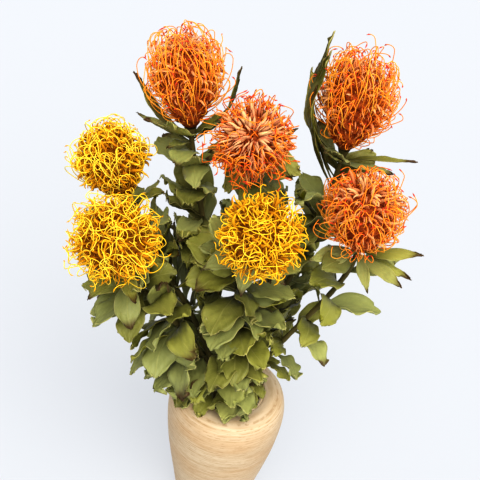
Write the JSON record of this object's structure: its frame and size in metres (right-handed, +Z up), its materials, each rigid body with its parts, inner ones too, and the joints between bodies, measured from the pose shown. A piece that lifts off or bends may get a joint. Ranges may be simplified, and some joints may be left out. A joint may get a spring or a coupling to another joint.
{
  "type": "pincushion protea flowers in a vase",
  "caption": "Dried pincushion proteas with looping styles and broad wavy leaves, standing in a turned wooden vase with a full shoulder.",
  "frame": {"origin": "centre of the vase's flat base", "axes": "+Z up along the vase's axis, -Y towards the side that the picture shows, +X to its right"},
  "size_m": [0.3552, 0.2513, 0.5855],
  "materials": {
    "turned_wood": "satin",
    "dried_leaf": "matte",
    "orange_bloom": "matte",
    "yellow_bloom": "matte"
  },
  "bodies": {
    "root": {"vase": "turned_wood", "leafy_stem_orange_1": "dried_leaf", "leafy_stem_orange_2": "dried_leaf", "leafy_stem_orange_3": "dried_leaf", "leafy_stem_orange_4": "dried_leaf", "leafy_stem_yellow_1": "dried_leaf", "leafy_stem_yellow_2": "dried_leaf", "leafy_stem_yellow_3": "dried_leaf", "bloom_orange_1": "orange_bloom", "bloom_orange_2": "orange_bloom", "bloom_orange_3": "orange_bloom", "bloom_orange_4": "orange_bloom", "bloom_yellow_1": "yellow_bloom", "bloom_yellow_2": "yellow_bloom", "bloom_yellow_3": "yellow_bloom"}
  },
  "joints": []
}
